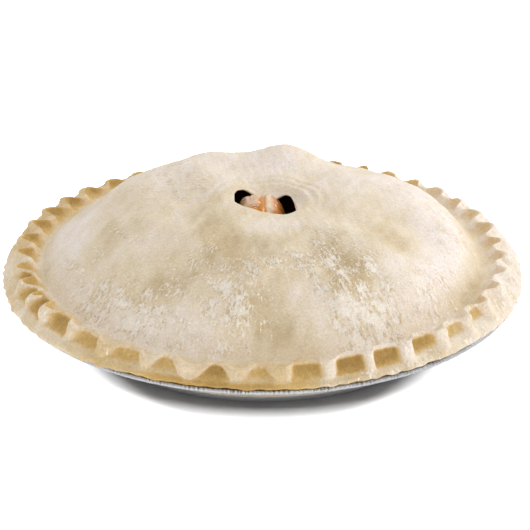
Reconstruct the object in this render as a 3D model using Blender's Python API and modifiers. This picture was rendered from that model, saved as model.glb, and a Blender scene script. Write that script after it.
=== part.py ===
"""An unbaked peach pie in its foil tin, at its real size.

The tin is a turned foil shell with a rolled rim. The pastry is one solid: the bottom crust that
lines the tin, the lid draped over the heaped fruit, and the wall of dough round the edge, pinched
into folds that lean in and out by turns. A round steam vent is cut through the top of the lid, and
the fruit shows in it: two peach slices side by side, with the wet filling below them.

The origin is the centre of the tin's base, on the surface that it stands on, with +Z up. The front
of the pie is -Y: its folds are the widest ones.
"""

import math
import random

import bpy
from mathutils import Matrix

# Foil tin, in metres. Its rolled rim is the widest round of the whole pie.
TIN_STEPS = 60
FOIL = 0.0004
BASE_RADIUS = 0.0890
BASE_CORNER = 0.0025
WALL_TOP_RADIUS = 0.1120
FLANGE_HEIGHT = 0.0240
ROLL_CENTRE_RADIUS = 0.1214
ROLL_RADIUS = 0.0007

# Clearance between pieces that touch.
GAP = 0.0004

# Pastry round its edge: a wall of dough that stands on the tin's flange.
EDGE_RADIUS = 0.1219
CREST_RADIUS = 0.1133
CREST_HEIGHT = 0.0330
VALLEY_HEIGHT = 0.0290
SILL_HEIGHT = 0.0268

# Folds pinched into that wall. They are wider on the front than on the back.
FOLD_COUNT = 42
STEPS_PER_FOLD = 8
FOLD_REACH = 0.0032
RIB_RISE = 0.0004
FOLD_LIFT = 0.0006
FRONT_RISE = 0.0021
FOLD_BAND = 0.0068
FOLD_STEEPNESS = 1.7
FOLD_BIAS = 0.10
FOLD_WIDENING = 0.122
FIRST_FOLD = math.radians(268.9)
WIDEST_FOLD = math.radians(274.5)

# Domed lid: it stays high over the heaped fruit, then drops to the valley inside the folds.
DOME_RADIUS = 0.1037
DOME_RISE = 0.0283
DOME_POWER = 3.66
DOME_TILT = (0.030, -0.028)
LUMP_FADE = 0.0120

# Rounds where fruit lifts the lid and hollows between them, in metres and degrees:
# x, y, rise, length, width, turn of the length from +X.
LUMPS = (
    (0.0117, 0.0565, 0.0093, 0.0115, 0.0115, 0.0),
    (-0.0291, 0.0550, 0.0077, 0.0182, 0.0182, 0.0),
    (-0.0620, 0.0416, 0.0053, 0.0138, 0.0138, 0.0),
    (0.0660, 0.0345, 0.0030, 0.0190, 0.0190, 0.0),
    (0.0430, 0.0150, 0.0020, 0.0140, 0.0120, 0.0),
    (-0.0180, 0.0060, 0.0012, 0.0110, 0.0120, 0.0),
    (0.0220, -0.0060, -0.0012, 0.0100, 0.0100, 0.0),
    (0.0000, -0.0250, 0.0010, 0.0100, 0.0080, 0.0),
    (-0.0115, -0.0425, -0.0018, 0.0100, 0.0090, 0.0),
    (-0.0265, -0.0250, 0.0017, 0.0240, 0.0090, 76.0),
    (-0.0390, -0.0640, -0.0024, 0.0120, 0.0100, 30.0),
    (0.0510, -0.0510, 0.0028, 0.0180, 0.0095, 127.0),
    (0.0310, -0.0570, -0.0014, 0.0120, 0.0080, 127.0),
    (0.0600, -0.0230, -0.0013, 0.0140, 0.0120, 0.0),
    (0.0065, -0.0920, -0.0034, 0.0110, 0.0080, 90.0),
    (-0.0140, -0.0830, 0.0017, 0.0120, 0.0100, 0.0),
    (0.0270, -0.0770, 0.0017, 0.0110, 0.0090, 0.0),
    (-0.0720, -0.0140, -0.0013, 0.0280, 0.0080, 80.0),
    (0.0860, -0.0090, 0.0014, 0.0160, 0.0080, 90.0),
)

# Steam vent, a slightly oval hole. The cutter that made it pressed the lid down on one side,
# inside a ring mark, and left a second, wider ring mark behind it.
VENT_X = 0.0016
VENT_Y = 0.0018
VENT_RADIUS = 0.0150
VENT_NARROWING = 0.95
VENT_TURN = math.radians(-24.0)
CUTTER_STEPS = 40
LID_UNDERSIDE = 0.0550
PRESS_RADIUS = 0.0200
PRESS_DEPTH = 0.0015
PRESS_SIDE = math.radians(25.0)
RING_MARKS = ((0.0200, 0.0006, 0.0012), (0.0240, -0.0005, 0.0018), (0.0288, 0.0006, 0.0014))
RING_MARK_SIDE = math.radians(65.0)

# Pocket of filling under the vent. It reaches further back than the vent does.
POCKET_SHIFT = 0.0040
POCKET_RADIUS = 0.0215
POCKET_FLOOR = 0.0340
FILLING_TOP = 0.0400
FILLING_STEPS = 24
RIPPLE_RISE = 0.0004
RIPPLE_LENGTH = 0.0125

# Peach slices: name, x and y of the middle, length, width, depth, height of the top, turn in degrees.
SLICES = (
    ("peach_slice_left", -0.0058, 0.0072, 0.0250, 0.0120, 0.0138, 0.0543, 3.0),
    ("peach_slice_right", 0.0066, 0.0070, 0.0250, 0.0120, 0.0140, 0.0546, -3.0),
)
SLICE_BOW = 0.0010
SLICE_ROUNDNESS = 0.72
SLICE_TAPER = 0.10
SLICE_SEGMENTS = 16
SLICE_RINGS = 10

# Share of the turned blank's triangles that the finished pastry keeps.
PASTRY_KEEP = 0.34


def clear_scene():
    for obj in list(bpy.data.objects):
        bpy.data.objects.remove(obj, do_unlink=True)


def make_material(name, colour, roughness, metallic=0.0):
    material = bpy.data.materials.new(name)
    material.use_nodes = True
    shader = material.node_tree.nodes["Principled BSDF"]
    shader.inputs["Base Color"].default_value = (*colour, 1.0)
    shader.inputs["Roughness"].default_value = roughness
    shader.inputs["Metallic"].default_value = metallic
    return material


def make_collection(name):
    collection = bpy.data.collections.new(name)
    bpy.context.scene.collection.children.link(collection)
    return collection


def arc(centre, radius, start, end, count):
    """Points round an arc in the plane of a profile, with its angles in degrees from +X."""
    points = []
    for i in range(count):
        angle = math.radians(start + (end - start) * i / (count - 1))
        points.append((centre[0] + radius * math.cos(angle), centre[1] + radius * math.sin(angle)))
    return points


def spread(start, end, count):
    """Evenly spaced values, with both ends."""
    return [start + (end - start) * i / (count - 1) for i in range(count)]


def smooth(share):
    """Ease from 0 to 1 as the share goes from 0 to 1."""
    share = max(0.0, min(1.0, share))
    return share * share * (3.0 - 2.0 * share)


def turned(name, profile, steps, collection, material=None):
    """A profile of (radius, height) points, turned once about Z."""
    mesh = bpy.data.meshes.new(name)
    edges = [(i, i + 1) for i in range(len(profile) - 1)]
    mesh.from_pydata([(radius, 0.0, height) for radius, height in profile], edges, [])
    obj = bpy.data.objects.new(name, mesh)
    collection.objects.link(obj)
    if material:
        mesh.materials.append(material)
    screw = obj.modifiers.new("turn", "SCREW")
    screw.steps = steps
    screw.render_steps = steps
    screw.use_merge_vertices = True
    screw.merge_threshold = 0.00001
    return obj


def freeze(obj):
    """Swap an object's modifiers for the mesh that they make."""
    evaluated = obj.evaluated_get(bpy.context.evaluated_depsgraph_get())
    mesh = bpy.data.meshes.new_from_object(evaluated)
    obj.modifiers.clear()
    obj.data = mesh


# ---------------------------------------------------------------- the tin


def tin_profile():
    """The foil's outer face, from the end of the rolled rim to the middle of the base."""
    flange = FLANGE_HEIGHT - FOIL
    profile = arc((ROLL_CENTRE_RADIUS, flange - ROLL_RADIUS), ROLL_RADIUS, -130.0, 90.0, 6)
    profile.append((WALL_TOP_RADIUS, flange))
    profile += arc((BASE_RADIUS, BASE_CORNER), BASE_CORNER, -42.0, -90.0, 3)
    profile.append((0.0, 0.0))
    return profile


def build_tin(material, collection):
    tin = turned("foil_tin", tin_profile(), TIN_STEPS, collection, material)
    wall = tin.modifiers.new("foil", "SOLIDIFY")
    wall.thickness = FOIL
    wall.offset = -1.0
    return tin


# ------------------------------------------------------------- the pastry


def lump_rise(x, y, lump):
    lump_x, lump_y, rise, length, width, turn = lump
    turn = math.radians(turn)
    along = (x - lump_x) * math.cos(turn) + (y - lump_y) * math.sin(turn)
    across = (y - lump_y) * math.cos(turn) - (x - lump_x) * math.sin(turn)
    return rise * math.exp(-0.5 * ((along / length) ** 2 + (across / width) ** 2))


def vent_relief(x, y):
    """The pressed slope and the ring marks round the vent."""
    away = math.hypot(x - VENT_X, y - VENT_Y)
    angle = math.atan2(y - VENT_Y, x - VENT_X)
    pressed = PRESS_DEPTH * 0.5 * (1.0 + math.cos(angle - PRESS_SIDE))
    height = -pressed * smooth((PRESS_RADIUS - away) / (PRESS_RADIUS - VENT_RADIUS))
    shown = smooth(0.5 + 0.8 * math.cos(angle - RING_MARK_SIDE))
    for radius, rise, width in RING_MARKS:
        height += shown * rise * math.exp(-(((away - radius) / width) ** 2))
    return height


def dome_height(x, y):
    """Height of the lid's top face over a point of the plan."""
    radius = math.hypot(x, y)
    lumps = DOME_TILT[0] * x + DOME_TILT[1] * y
    for lump in LUMPS:
        lumps += lump_rise(x, y, lump)
    lumps *= smooth((DOME_RADIUS - radius) / LUMP_FADE)
    dome = DOME_RISE * (1.0 - min(radius / DOME_RADIUS, 1.0) ** DOME_POWER)
    return VALLEY_HEIGHT + dome + lumps + vent_relief(x, y)


def fold_turns(angle):
    """How many folds lie between the first one and this angle."""
    swing = math.sin(angle - WIDEST_FOLD) - math.sin(FIRST_FOLD - WIDEST_FOLD)
    return FOLD_COUNT * (angle - FIRST_FOLD - FOLD_WIDENING * swing) / (2.0 * math.pi)


def fold_wave(turns):
    """-1 where the dough is pressed in from outside, +1 on the rib between two presses."""
    lean = FOLD_STEEPNESS * (-math.cos(2.0 * math.pi * turns) - FOLD_BIAS)
    return math.tanh(lean)


def fold_traits():
    """Each fold is pinched a little differently: its share of the reach, and its lift."""
    chance = random.Random(42)
    return [(chance.uniform(0.82, 1.15), chance.uniform(-1.0, 1.0)) for _ in range(FOLD_COUNT)]


def pastry_profile():
    """The pastry's section, from the middle of the lid, down the edge, to the middle of the
    underside. The lid is flat here: its heights are set later, point by point."""
    top = VALLEY_HEIGHT + DOME_RISE
    radii = [0.0, 0.006, 0.011]
    radii += spread(0.0145, 0.0310, 12)
    radii += spread(0.0350, DOME_RADIUS - 0.0015, 15)
    profile = [(radius, top) for radius in radii]
    profile += [
        (DOME_RADIUS, VALLEY_HEIGHT),
        (CREST_RADIUS - 0.0057, VALLEY_HEIGHT + 0.0002),
        (CREST_RADIUS - 0.0032, CREST_HEIGHT - 0.0018),
        (CREST_RADIUS - 0.0015, CREST_HEIGHT - 0.0004),
        (CREST_RADIUS, CREST_HEIGHT),
        (CREST_RADIUS + 0.0013, CREST_HEIGHT - 0.0006),
        (CREST_RADIUS + 0.0025, CREST_HEIGHT - 0.0026),
        (CREST_RADIUS + 0.0042, SILL_HEIGHT),
        (EDGE_RADIUS - 0.0020, SILL_HEIGHT - 0.0004),
        (EDGE_RADIUS - 0.0004, SILL_HEIGHT - 0.0010),
        (EDGE_RADIUS, SILL_HEIGHT - 0.0016),
        (EDGE_RADIUS - 0.0008, FLANGE_HEIGHT + GAP),
        (WALL_TOP_RADIUS - GAP, FLANGE_HEIGHT + GAP),
        (BASE_RADIUS + 0.0006, FOIL + GAP + 0.0010),
        (BASE_RADIUS - 0.0010, FOIL + GAP),
        (0.0, FOIL + GAP),
    ]
    return profile


def shape_fold(vertex, traits):
    """Lean the wall of dough in or out, and lift or sink its crest."""
    radius = math.hypot(vertex.co.x, vertex.co.y)
    turns = fold_turns(math.atan2(vertex.co.y, vertex.co.x) % (2.0 * math.pi))
    reach, lift = traits[round(turns) % FOLD_COUNT]
    wave = fold_wave(turns)
    band = math.exp(-abs((radius - CREST_RADIUS) / FOLD_BAND) ** 3)
    moved = radius + FOLD_REACH * reach * wave * band
    vertex.co.x *= moved / radius
    vertex.co.y *= moved / radius
    raised = max(0.0, vertex.co.z - SILL_HEIGHT) / (CREST_HEIGHT - SILL_HEIGHT)
    front = -vertex.co.y / moved
    vertex.co.z += (RIB_RISE * wave + FOLD_LIFT * lift + FRONT_RISE * front) * band * raised


def shape_pastry(mesh):
    """Give the turned blank its dome and its folds."""
    traits = fold_traits()
    for vertex in mesh.vertices:
        if vertex.co.z < FLANGE_HEIGHT + 2.0 * GAP:
            continue
        if math.hypot(vertex.co.x, vertex.co.y) < DOME_RADIUS - GAP:
            vertex.co.z = dome_height(vertex.co.x, vertex.co.y)
        else:
            shape_fold(vertex, traits)


def build_cutter(name, profile, shift, collection):
    """A turned cutter, squeezed and set round the vent's own axis."""
    cutter = turned(name, profile, CUTTER_STEPS, collection)
    place_at_vent(cutter, shift)
    cutter.hide_render = True
    cutter.display_type = "WIRE"
    return cutter


def place_at_vent(obj, shift):
    obj.location = (VENT_X, VENT_Y + shift, 0.0)
    obj.rotation_euler = (0.0, 0.0, VENT_TURN)
    obj.scale = (1.0, VENT_NARROWING, 1.0)


def build_vent_cutters(collection):
    """A narrow neck through the lid, over the wider pocket of filling."""
    neck = [
        (0.0, 2.0 * LID_UNDERSIDE),
        (VENT_RADIUS, 2.0 * LID_UNDERSIDE),
        (VENT_RADIUS, LID_UNDERSIDE - GAP),
        (0.0, LID_UNDERSIDE - GAP),
    ]
    pocket = [
        (0.0, LID_UNDERSIDE),
        (POCKET_RADIUS - 0.0025, LID_UNDERSIDE),
        (POCKET_RADIUS, LID_UNDERSIDE - 0.0025),
        (POCKET_RADIUS, POCKET_FLOOR),
        (0.0, POCKET_FLOOR),
    ]
    return [
        build_cutter("vent_cutter", neck, 0.0, collection),
        build_cutter("pocket_cutter", pocket, POCKET_SHIFT, collection),
    ]


def build_pastry(material, collection, cutters):
    steps = FOLD_COUNT * STEPS_PER_FOLD
    pastry = turned("crust", pastry_profile(), steps, collection, material)
    freeze(pastry)
    shape_pastry(pastry.data)
    fewer = pastry.modifiers.new("fewer", "DECIMATE")
    fewer.ratio = PASTRY_KEEP
    for cutter in build_vent_cutters(cutters):
        cut = pastry.modifiers.new(cutter.name, "BOOLEAN")
        cut.operation = "DIFFERENCE"
        cut.solver = "EXACT"
        cut.object = cutter
    pastry.data.shade_smooth()
    return pastry


# -------------------------------------------------------------- the fruit


def build_filling(material, collection):
    """The wet filling on the floor of the vent's pocket, with an uneven top."""
    radius = POCKET_RADIUS - GAP
    bottom = POCKET_FLOOR + GAP
    profile = [
        (0.0, FILLING_TOP),
        (0.40 * radius, FILLING_TOP),
        (0.75 * radius, FILLING_TOP),
        (radius - 0.0010, FILLING_TOP),
        (radius, FILLING_TOP - 0.0010),
        (radius, bottom),
        (0.0, bottom),
    ]
    filling = turned("filling", profile, FILLING_STEPS, collection, material)
    freeze(filling)
    for vertex in filling.data.vertices:
        if vertex.co.z > bottom + GAP:
            across = math.sin(2.0 * math.pi * vertex.co.x / RIPPLE_LENGTH + 1.0)
            along = math.cos(2.0 * math.pi * vertex.co.y / RIPPLE_LENGTH)
            vertex.co.z += RIPPLE_RISE * across * along
    place_at_vent(filling, POCKET_SHIFT)
    filling.data.shade_smooth()
    return filling


def blunted(share):
    """Push a share of a round's radius outwards, so that the round grows blunter."""
    return math.copysign(abs(share) ** SLICE_ROUNDNESS, share)


def build_slice(shape, material, collection):
    """A peach slice with its rounded back up: a bowed wedge with blunt tips."""
    name, middle_x, middle_y, length, width, depth, top, turn = shape
    bpy.ops.mesh.primitive_uv_sphere_add(segments=SLICE_SEGMENTS, ring_count=SLICE_RINGS, radius=1.0)
    peach = bpy.context.object
    peach.name = name
    for vertex in peach.data.vertices:
        x_share, y_share, z_share = (blunted(share) for share in vertex.co)
        vertex.co.x = 0.5 * width * x_share * (1.0 + SLICE_TAPER * (z_share - 1.0))
        vertex.co.y = 0.5 * length * y_share
        vertex.co.z = 0.5 * depth * z_share - SLICE_BOW * y_share**2
    peach.data.transform(Matrix.Rotation(math.radians(turn), 4, "Z"))
    peach.location = (middle_x, middle_y, top - 0.5 * depth)
    peach.data.materials.append(material)
    peach.data.shade_smooth()
    for holder in list(peach.users_collection):
        holder.objects.unlink(peach)
    collection.objects.link(peach)
    return peach


def main():
    clear_scene()
    pie = make_collection("peach_pie")
    cutters = make_collection("cutters")
    foil = make_material("aluminium_foil", (0.74, 0.73, 0.72), 0.30, 1.0)
    dough = make_material("raw_pastry", (0.76, 0.66, 0.49), 0.75)
    syrup = make_material("wet_filling", (0.30, 0.12, 0.03), 0.35)
    flesh = make_material("peach_flesh", (0.78, 0.42, 0.14), 0.45)
    build_tin(foil, pie)
    build_pastry(dough, pie, cutters)
    build_filling(syrup, pie)
    for shape in SLICES:
        build_slice(shape, flesh, pie)


main()
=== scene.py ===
# The looks of an unbaked peach pie in its foil tin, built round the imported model.
import functools
import math
import random

import bpy
import numpy as np
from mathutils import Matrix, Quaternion, Vector


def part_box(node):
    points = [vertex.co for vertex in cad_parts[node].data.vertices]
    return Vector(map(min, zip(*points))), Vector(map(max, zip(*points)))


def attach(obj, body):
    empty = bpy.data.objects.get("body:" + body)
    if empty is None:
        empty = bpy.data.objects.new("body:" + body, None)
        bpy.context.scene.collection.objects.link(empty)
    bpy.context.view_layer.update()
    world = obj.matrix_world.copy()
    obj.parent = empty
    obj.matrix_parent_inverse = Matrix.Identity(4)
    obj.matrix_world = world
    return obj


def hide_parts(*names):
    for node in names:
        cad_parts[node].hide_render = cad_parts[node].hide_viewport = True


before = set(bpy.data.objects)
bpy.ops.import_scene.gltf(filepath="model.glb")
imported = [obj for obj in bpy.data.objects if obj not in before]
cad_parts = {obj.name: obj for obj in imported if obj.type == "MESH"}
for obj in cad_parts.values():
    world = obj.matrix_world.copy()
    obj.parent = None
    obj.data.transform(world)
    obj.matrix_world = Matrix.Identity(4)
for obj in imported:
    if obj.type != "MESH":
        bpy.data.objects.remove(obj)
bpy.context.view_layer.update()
mm = 0.001
fullTurn = 2 * math.pi


# Small helpers for every piece.
def clearSelection():
    if bpy.context.mode != "OBJECT":
        bpy.ops.object.mode_set(mode="OBJECT")
    bpy.ops.object.select_all(action="DESELECT")


def readPoints(piece):
    flat = np.empty(3 * len(piece.data.vertices), np.float32)
    piece.data.vertices.foreach_get("co", flat)
    return flat.reshape(-1, 3).astype(float)


def movePoints(piece, points):
    piece.data.vertices.foreach_set("co", points.astype(np.float32).ravel())
    piece.data.update()


def paint(piece, name, values):
    # a value at each point of the piece, which its material reads
    layer = piece.data.attributes.new(name, "FLOAT", "POINT")
    layer.data.foreach_set("value", np.clip(values, 0, 1).astype(np.float32))


def spinOutline(name, outline, steps, sectors=12):
    # one point is drawn out along the outline, the line is spun through one sector of the pie's round,
    # and copies of that sector close the round
    clearSelection()
    bpy.ops.mesh.primitive_plane_add(size=mm, calc_uvs=False)
    piece = bpy.context.object
    piece.name = name
    bpy.ops.object.mode_set(mode="EDIT")
    bpy.ops.mesh.select_all(action="SELECT")
    bpy.ops.mesh.merge(type="CENTER")
    bpy.ops.transform.translate(value=(outline[0][0], 0, outline[0][1]))
    for start, end in zip(outline, outline[1:]):
        step = (end[0] - start[0], 0, end[1] - start[1])
        bpy.ops.mesh.extrude_region_move(TRANSFORM_OT_translate={"value": step})
    bpy.ops.mesh.select_all(action="SELECT")
    bpy.ops.mesh.spin(steps=steps // sectors, angle=fullTurn / sectors, center=(0, 0, 0), axis=(0, 0, 1))
    bpy.ops.mesh.select_all(action="SELECT")
    bpy.ops.mesh.spin(steps=sectors - 1, angle=fullTurn * (sectors - 1) / sectors, dupli=True,
                      center=(0, 0, 0), axis=(0, 0, 1))
    bpy.ops.mesh.select_all(action="SELECT")
    bpy.ops.mesh.remove_doubles(threshold=0.01 * mm)
    bpy.ops.mesh.normals_make_consistent(inside=False)
    bpy.ops.object.mode_set(mode="OBJECT")
    bpy.ops.object.shade_smooth()
    return piece


def ringNumbers(points, outline):
    # which point of the outline each point of the spun piece came from
    radius, height = np.hypot(points[:, 0], points[:, 1]), points[:, 2]
    rings = np.zeros(len(points), int)
    for number, (ringRadius, ringHeight) in enumerate(outline):
        rings[np.hypot(radius - ringRadius, height - ringHeight) < 0.01 * mm] = number
    return rings


def ease(share):
    share = np.clip(share, 0, 1)
    return share * share * (3 - 2 * share)


def fade(value, start, end):
    # from 0 at the start softly up to 1 at the end
    return ease((value - start) / (end - start))


def roundPie(angle, base, *changes):
    # a value that changes round the pie: each change is an amount, with the sines and the cosines of the
    # angle between which it comes in, or None where they don't matter
    total = np.full_like(angle, float(base))
    for amount, sines, cosines in changes:
        share = amount
        if sines:
            share = share * fade(np.sin(angle), *sines)
        if cosines:
            share = share * fade(np.cos(angle), *cosines)
        total += share
    return total


def window(value, start, end, blur):
    # 1 between start and end, with soft edges
    return ease((value - start) / blur + 0.5) * ease((end - value) / blur + 0.5)


def ripples(x, y, length, seed, waves=7):
    # soft uneven swells: a few waves that run in drawn directions
    chance = np.random.RandomState(seed)
    total = np.zeros_like(x)
    for _ in range(waves):
        turn, shift = chance.uniform(0, fullTurn, 2)
        pitch = fullTurn / (length * chance.uniform(0.7, 1.5))
        total += np.sin(pitch * (x * math.cos(turn) + y * math.sin(turn)) + shift)
    return total * math.sqrt(2 / waves)


def swells(x, y, rows):
    # ripples one on top of the other: how much, length in mm and seed of each
    return sum(much * ripples(x, y, length * mm, seed) for much, length, seed in rows)


def nearAngle(angle, middle, half, power=2):
    # 1 at the middle angle, and softly less to both sides
    off = (angle - middle + math.pi) % fullTurn - math.pi
    return np.exp(-np.abs(off / half) ** power)


def spread(x, y, patches):
    # soft oval patches: x, y, length, width in mm, turn in degrees, how much
    total = np.zeros_like(x)
    for patchX, patchY, length, width, turn, amount in patches:
        turn = math.radians(turn)
        offX, offY = x - patchX * mm, y - patchY * mm
        along = (offX * math.cos(turn) + offY * math.sin(turn)) / (length * mm)
        across = (offY * math.cos(turn) - offX * math.sin(turn)) / (width * mm)
        total += amount * np.exp(-0.5 * (along**2 + across**2))
    return total


def smoothLine(corners, count):
    # an even curve through a few corners of a section
    corners = np.array(corners, float)
    padded = np.vstack([2 * corners[0] - corners[1], corners, 2 * corners[-1] - corners[-2]])
    places = np.linspace(0, len(corners) - 1, count)
    cell = np.minimum(places.astype(int), len(corners) - 2)
    t = (places - cell)[:, None]
    a, b, c, d = (padded[cell + shift] for shift in range(4))
    cubic = 2 * b + (c - a) * t + (2 * a - 5 * b + 4 * c - d) * t**2 + (3 * b - a - 3 * c + d) * t**3
    return 0.5 * cubic, places


# Materials.
def hexColour(code):
    channels = [int(code[place:place + 2], 16) / 255 for place in (0, 2, 4)]
    linear = [c / 12.92 if c <= 0.04045 else ((c + 0.055) / 1.055) ** 2.4 for c in channels]
    return (*linear, 1.0)


def newMaterial(name, settings=None):
    # the material, its shader and addNode made ready for it
    material = bpy.data.materials.new(name)
    material.use_nodes = True
    shader = material.node_tree.nodes["Principled BSDF"]
    for socket, value in (settings or {}).items():
        shader.inputs[socket].default_value = value
    return material, shader, functools.partial(addNode, material)


def feed(material, node, socket, source):
    # the source is one output, or a node, whose first output in use is taken
    if hasattr(source, "outputs"):
        source = next(output for output in source.outputs if output.enabled)
    material.node_tree.links.new(source, node.inputs[socket])


def addNode(material, kind, settings=None, links=None):
    node = material.node_tree.nodes.new("ShaderNode" + kind)
    if kind == "Mix":
        node.data_type = "RGBA"  # all that is mixed here is colours
    for key, value in (settings or {}).items():
        if isinstance(key, int) or key in node.inputs:
            # a colour is given as its hex code
            node.inputs[key].default_value = hexColour(value) if isinstance(value, str) else value
        else:
            setattr(node, key, value)
    for socket, source in (links or {}).items():
        feed(material, node, socket, source)
    return node


# Raw shortcrust pastry, rolled and floured: flour and butter make it pale, matt and faintly mottled. A
# film of flour whitens it, and where it is bare or pinched it shows the gold of the butter. Painted shade
# darkens its pockets, hollows, foot, crevices and the cavity below the vent, and painted light whitens
# its right side.
def makePastry():
    looks = {
        "pale": "EDDFC8",
        "warm": "E4D2B2",
        "bare": "CDB894",
        "film": "F7EBE2",
        # rubbed and pinched are the butter's gold; the pinched one is also the painted shade of the deepest
        # pockets and the foot
        "rubbedAndShaded": "D8B676",
        "pinched": "AE8A50",
        "flake": "FBF1E4",
        # the crevices between the flakes: bare dough, darkened as painted shade
        "creviceShade": "CBAA74",
        # the near black of the cavity below the vent: a syrup stain and painted shade
        "syrup": "3A180C",
        "cloudSize": 30 * mm,
        "fleckSize": 3.2 * mm,
        "grainSize": 1.0 * mm,
        "flakeLength": 2.6 * mm,
        "flakeWidth": 1.15 * mm,
        "frayPitch": 1.6 * mm,
        "frayReach": (1.8, 1.8, 0.0),
        "streakRadius": 75 * mm,
        "clumpSize": 7 * mm,
    }
    material, shader, add = newMaterial("rawShortcrust", {
        "Roughness": 0.7,
        "IOR": 1.45,
        "Specular IOR Level": 0.08,
        "Subsurface Weight": 0.15,
        "Subsurface Radius": (1.0, 0.6, 0.35),
        "Subsurface Scale": 2.5 * mm,
    })
    place = add("TexCoord").outputs["Object"]
    cloud = add("TexNoise", {"Scale": 1 / looks["cloudSize"], "Detail": 3}, {"Vector": place})
    fleck = add("TexNoise", {"Scale": 1 / looks["fleckSize"], "Detail": 5, "Distortion": 0.6},
                {"Vector": place})
    grain = add("TexNoise", {"Scale": 1 / looks["grainSize"], "Detail": 3}, {"Vector": place})
    # flakes lie in streaks down the slope, the way that the lid was stretched over the fruit
    flat = add("VectorMath", {"operation": "MULTIPLY", 1: (1, -1, 0)}, {0: place})
    away = add("VectorMath", {"operation": "LENGTH"}, {0: flat})
    sides = add("SeparateXYZ", None, {"Vector": flat})
    around = add("Math", {"operation": "ARCTAN2"}, {0: sides.outputs[0], 1: sides.outputs[1]})
    along = add("Math", {"operation": "MULTIPLY", 1: 1 / looks["flakeLength"]}, {0: away})
    streaks = looks["streakRadius"] / looks["flakeWidth"]
    across = add("Math", {"operation": "MULTIPLY", 1: streaks}, {0: around})
    downhill = add("CombineXYZ", None, {0: along, 1: across})
    fray = add("TexNoise", {"Scale": 1 / looks["frayPitch"], "Detail": 2}, {"Vector": place})
    frayed = add("VectorMath", {"operation": "MULTIPLY_ADD", 1: looks["frayReach"]},
                 {0: fray.outputs["Color"], 2: downhill})
    flake = add("TexNoise", {"Scale": 1.0, "Detail": 4, "Roughness": 0.65}, {"Vector": frayed})
    uneven = add("Math", {"operation": "MULTIPLY_ADD", 1: 0.6}, {0: fleck, 2: cloud})
    mottle = add("MapRange", {"From Min": 0.60, "From Max": 1.0}, {"Value": uneven})
    dough = add("Mix", {6: looks["pale"], 7: looks["warm"]}, {0: mottle})
    # the dust share: 0 is bare dough, a half is dough as rolled, 1 is a film of flour; low values also stand
    # for painted shade in hollows and valleys, high ones partly for painted light on the right side
    dust = add("Attribute", {"attribute_name": "dust"})
    ragged = add("Math", {"operation": "MULTIPLY_ADD", 1: 0.5, 2: -0.28}, {0: fleck})
    dusted = add("Math", {"operation": "ADD"}, {0: dust.outputs["Fac"], 1: ragged})
    bareAndShaded = add("MapRange", {"From Min": 0.45, "From Max": 0.0}, {"Value": dusted})
    filmAndLight = add("MapRange", {"From Min": 0.45, "From Max": 1.0}, {"Value": dusted})
    rolledAndShaded = add("Mix", {7: looks["bare"]}, {0: bareAndShaded, 6: dough})
    filmedLitAndShaded = add("Mix", {7: looks["film"]}, {0: filmAndLight, 6: rolledAndShaded})
    pinched = add("Attribute", {"attribute_name": "pinched"})
    # the rubbed places end in an uneven edge, and so does the painted shade in the pockets
    blotched = add("Math", {"operation": "MULTIPLY_ADD", 1: 0.5}, {0: uneven, 2: pinched.outputs["Fac"]})
    rubbedAndShaded = add("Math", {"operation": "MULTIPLY_ADD", 1: 0.5}, {0: flake, 2: blotched})
    # the deepest pockets and the foot turn the darkest gold, which is painted shade
    goldAndShade = add("MapRange", {"From Min": 0.83, "From Max": 1.26}, {"Value": rubbedAndShaded})
    deepShade = add("MapRange", {"From Min": 1.24, "From Max": 1.65}, {"Value": rubbedAndShaded})
    butteryAndShaded = add("Mix", {7: looks["rubbedAndShaded"]}, {0: goldAndShade, 6: filmedLitAndShaded})
    goldenAndShaded = add("Mix", {7: looks["pinched"]}, {0: deepShade, 6: butteryAndShaded})
    # the flour lies in clumps
    strewn = add("Attribute", {"attribute_name": "flour"})
    clump = add("TexNoise", {"Scale": 1 / looks["clumpSize"], "Detail": 3}, {"Vector": place})
    lift = add("MapRange",
               {"From Min": 0.35, "From Max": 0.62, "To Min": 0.35, "To Max": 1.25}, {"Value": clump})
    flour = add("Math", {"operation": "MULTIPLY"}, {0: strewn.outputs["Fac"], 1: lift})
    # the more flour there is, the more of the streaks stand up as flakes, with golden crevices between them
    # darkened as painted shade
    reach = add("Math", {"operation": "MULTIPLY_ADD", 1: 0.30, 2: -0.645}, {0: flour})
    raised = add("Math", {"operation": "ADD"}, {0: flake, 1: reach})
    covered = add("MapRange", {"From Min": 0.0, "From Max": 0.10}, {"Value": raised})
    below = add("Math", {"operation": "ADD", 1: 0.06}, {0: raised})
    beside = add("Math", {"operation": "ABSOLUTE"}, {0: below})
    hollow = add("MapRange", {"From Min": 0.07, "From Max": 0.0}, {"Value": beside})
    flaky = add("MapRange", {"From Min": 0.28, "From Max": 0.70}, {"Value": flour})
    creviceShaded = add("Math", {"operation": "MULTIPLY"}, {0: hollow, 1: flaky})
    ridged = add("MapRange", {"From Min": -0.08, "From Max": 0.14}, {"Value": raised})
    relief = add("Math", {"operation": "MULTIPLY"}, {0: ridged, 1: flaky})
    parted = add("Mix", {7: looks["creviceShade"]}, {0: creviceShaded, 6: goldenAndShaded})
    thin = add("Math", {"operation": "MULTIPLY", 1: 0.9}, {0: covered})
    floured = add("Mix", {7: looks["flake"]}, {0: thin, 6: parted})
    shade = add("MapRange",
                {"From Min": 0.3, "From Max": 0.7, "To Min": 0.88, "To Max": 1.075}, {"Value": grain})
    speckled = add("Mix", {"blend_type": "MULTIPLY", 0: 1.0}, {6: floured, 7: shade})
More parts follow.
